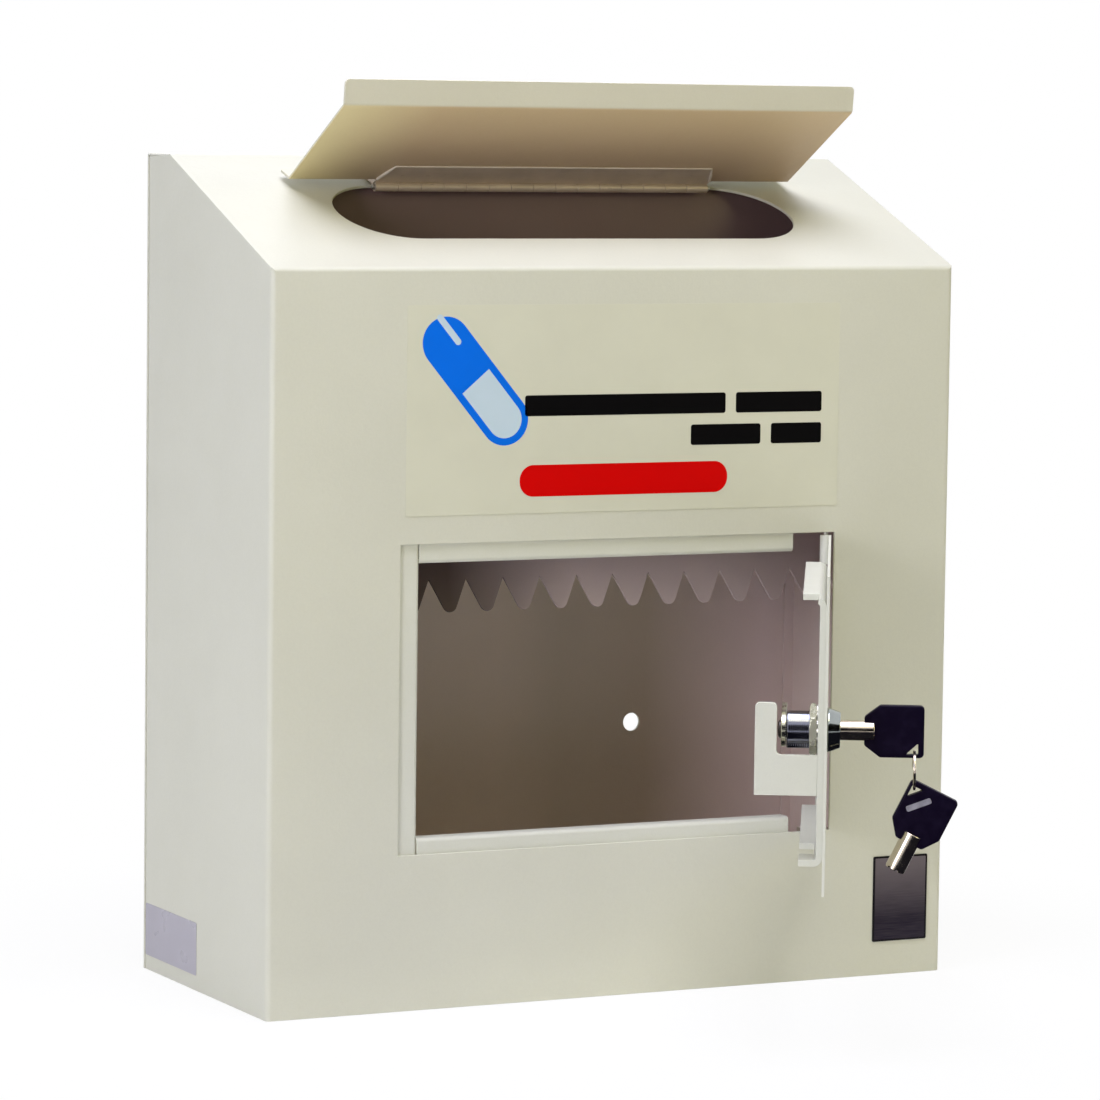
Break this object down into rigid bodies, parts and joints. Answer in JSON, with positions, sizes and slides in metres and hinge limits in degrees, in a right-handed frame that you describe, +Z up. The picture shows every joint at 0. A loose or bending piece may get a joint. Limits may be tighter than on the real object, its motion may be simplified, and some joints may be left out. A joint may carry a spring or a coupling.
{
  "type": "wall-mounted medicine drop box",
  "caption": "Lockable sheet-steel medicine collection box for a wall, with a sloping top, an oval drop slot under a hinged flap, and a keyed front door.",
  "frame": {"origin": "middle of the base panel's underside, level with what the box stands on", "axes": "+Z up, +Y back to the wall, +X to the right as seen from the front. The door is on the front, at -Y, and its hinges are at +X."},
  "size_m": [0.3682, 0.3527, 0.443],
  "materials": {
    "body_paint": "cream powder coat, fine orange peel",
    "trim_paint": "ivory powder coat",
    "steel": "zinc-plated steel",
    "lock_chrome": "bright chrome",
    "key_plastic": "black moulded plastic",
    "label_film": "clear film with a printed pictogram and plain bars",
    "nameplate": "bare dark grey metallic plate with a black edge",
    "silver_film": "bare silver film"
  },
  "bodies": {
    "box": {"body_wrap": "body_paint", "top_hood": "body_paint", "back_panel": "body_paint", "base_panel": "body_paint", "throat_baffle": "body_paint", "latch_jamb": "trim_paint", "top_jamb": "trim_paint", "bottom_jamb": "trim_paint", "upper_pivot_plate": "body_paint", "lower_pivot_plate": "body_paint", "upper_pivot_pin": "steel", "lower_pivot_pin": "steel", "flap_hinge_fixed_leaf": "steel", "flap_hinge_pin": "steel", "front_label": "label_film", "nameplate": "nameplate", "side_label": "silver_film"},
    "flap": {"flap_panel": "body_paint", "flap_hinge_moving_leaf": "steel"},
    "door": {"door_panel": "body_paint", "door_backing": "trim_paint", "lock_guard": "trim_paint", "lock_housing": "lock_chrome", "lock_washer": "steel", "lock_nut": "lock_chrome"},
    "lock": {"lock_core": "lock_chrome", "lock_cam": "steel", "cam_screw": "steel"},
    "key": {"key_tube": "lock_chrome", "key_bow": "key_plastic"},
    "ring": {"key_ring": "steel"},
    "spare_key": {"spare_key_tube": "lock_chrome", "spare_key_bow": "key_plastic"}
  },
  "joints": [
    {"name": "door_swing", "type": "hinge", "parent": "box", "child": "door", "pos_m": [0.1153, -0.07585, 0.149], "axis": [0, 0, 1], "range_deg": [-60.3, 34.7]},
    {"name": "flap_swing", "type": "hinge", "parent": "box", "child": "flap", "pos_m": [0, 0.01152, 0.39107], "axis": [-1, 0, 0], "range_deg": [-52.2, 9]},
    {"name": "lock_turn", "type": "hinge", "parent": "door", "child": "lock", "pos_m": [0.0236, -0.24228, 0.149], "axis": [0.8686, -0.4955, 0], "range_deg": [0, 180]},
    {"name": "key_withdraw", "type": "slide", "parent": "lock", "child": "key", "axis": [0.8686, -0.4955, 0], "range_m": [-0.0036, 0.0044]},
    {"name": "ring_swing", "type": "hinge", "parent": "key", "child": "ring", "pos_m": [0.05838, -0.26212, 0.14005], "axis": [-0.4955, -0.8686, 0], "range_deg": [-12, 60]},
    {"name": "spare_key_swing", "type": "hinge", "parent": "ring", "child": "spare_key", "pos_m": [0.05838, -0.26212, 0.12245], "axis": [-0.4955, -0.8686, 0], "range_deg": [-12, 40]}
  ]
}
